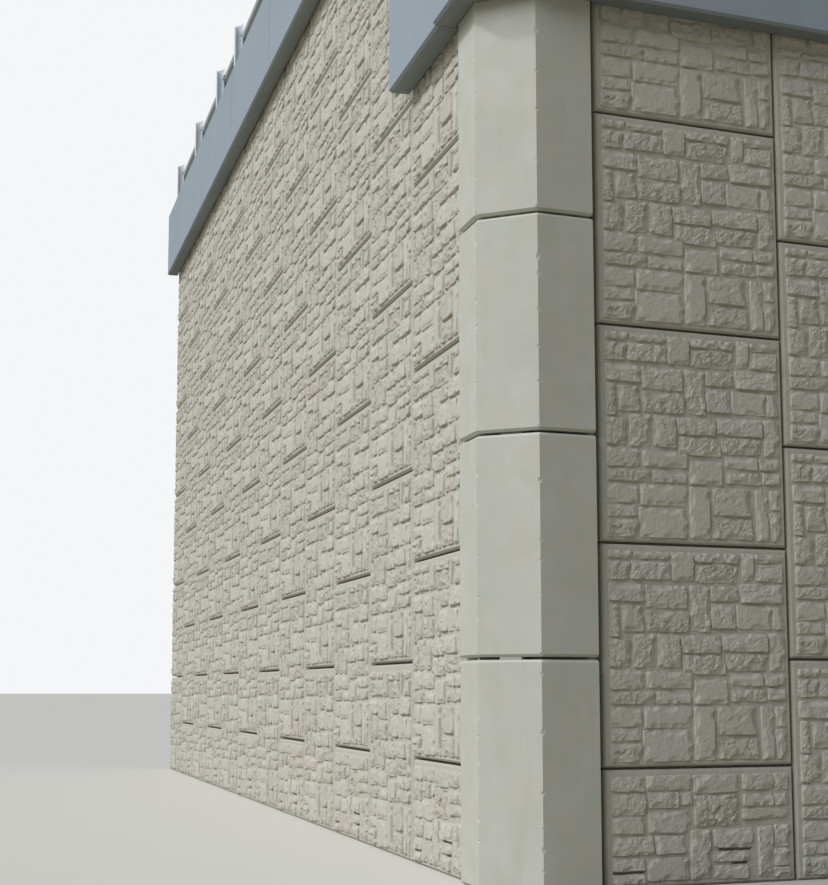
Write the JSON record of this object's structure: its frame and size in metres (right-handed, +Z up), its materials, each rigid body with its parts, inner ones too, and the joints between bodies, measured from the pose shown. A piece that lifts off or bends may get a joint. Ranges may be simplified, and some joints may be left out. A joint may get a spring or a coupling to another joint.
{
  "type": "mechanically stabilized earth wall corner",
  "caption": "Corner of a precast panel retaining wall: staggered stone-faced panels on two wings, faceted corner blocks, cast copings and a post and beam rail.",
  "frame": {"origin": "ground level, in the middle of the corner blocks' front wall", "axes": "+Z up; the long wing runs along -X and faces -Y; the short wing leaves the corner at the stated inside angle, towards +Y"},
  "size_m": [19.2822, 7.0451, 10.2589],
  "materials": {
    "panel_concrete": "ashlar-faced precast concrete with a warm grey stain",
    "corner_concrete": "smooth precast concrete with a warm grey stain",
    "coping_paint": "cast concrete with a blue-grey coating",
    "post_zinc": "galvanised steel, weathered",
    "beam_zinc": "galvanised steel, dull",
    "pad_rubber": "moulded rubber",
    "tie_zinc": "galvanised steel",
    "filter_cloth": "needled filter cloth"
  },
  "bodies": {
    "root": {"bearing_pads_corner": "pad_rubber", "bearing_pads_left": "pad_rubber", "bearing_pads_right": "pad_rubber", "corner_block_1": "corner_concrete", "corner_block_2": "corner_concrete", "corner_block_3": "corner_concrete", "corner_block_4": "corner_concrete", "high_coping_1": "coping_paint", "high_coping_2": "coping_paint", "high_coping_3": "coping_paint", "high_coping_4": "coping_paint", "high_coping_5": "coping_paint", "high_coping_6": "coping_paint", "joint_cloth_left": "filter_cloth", "joint_cloth_right": "filter_cloth", "left_column_01": "panel_concrete", "left_column_02": "panel_concrete", "left_column_03": "panel_concrete", "left_column_04": "panel_concrete", "left_column_05": "panel_concrete", "left_column_06": "panel_concrete", "left_column_07": "panel_concrete", "left_column_08": "panel_concrete", "left_column_09": "panel_concrete", "left_column_10": "panel_concrete", "left_column_11": "panel_concrete", "left_column_12": "panel_concrete", "low_coping_corner": "coping_paint", "low_coping_left": "coping_paint", "low_coping_right_1": "coping_paint", "low_coping_right_2": "coping_paint", "rail_beams": "beam_zinc", "rail_posts": "post_zinc", "right_column_01": "panel_concrete", "right_column_02": "panel_concrete", "right_column_03": "panel_concrete", "right_column_04": "panel_concrete", "tie_strips_left": "tie_zinc", "tie_strips_left_far": "tie_zinc", "tie_strips_left_middle": "tie_zinc", "tie_strips_right": "tie_zinc"}
  },
  "joints": []
}
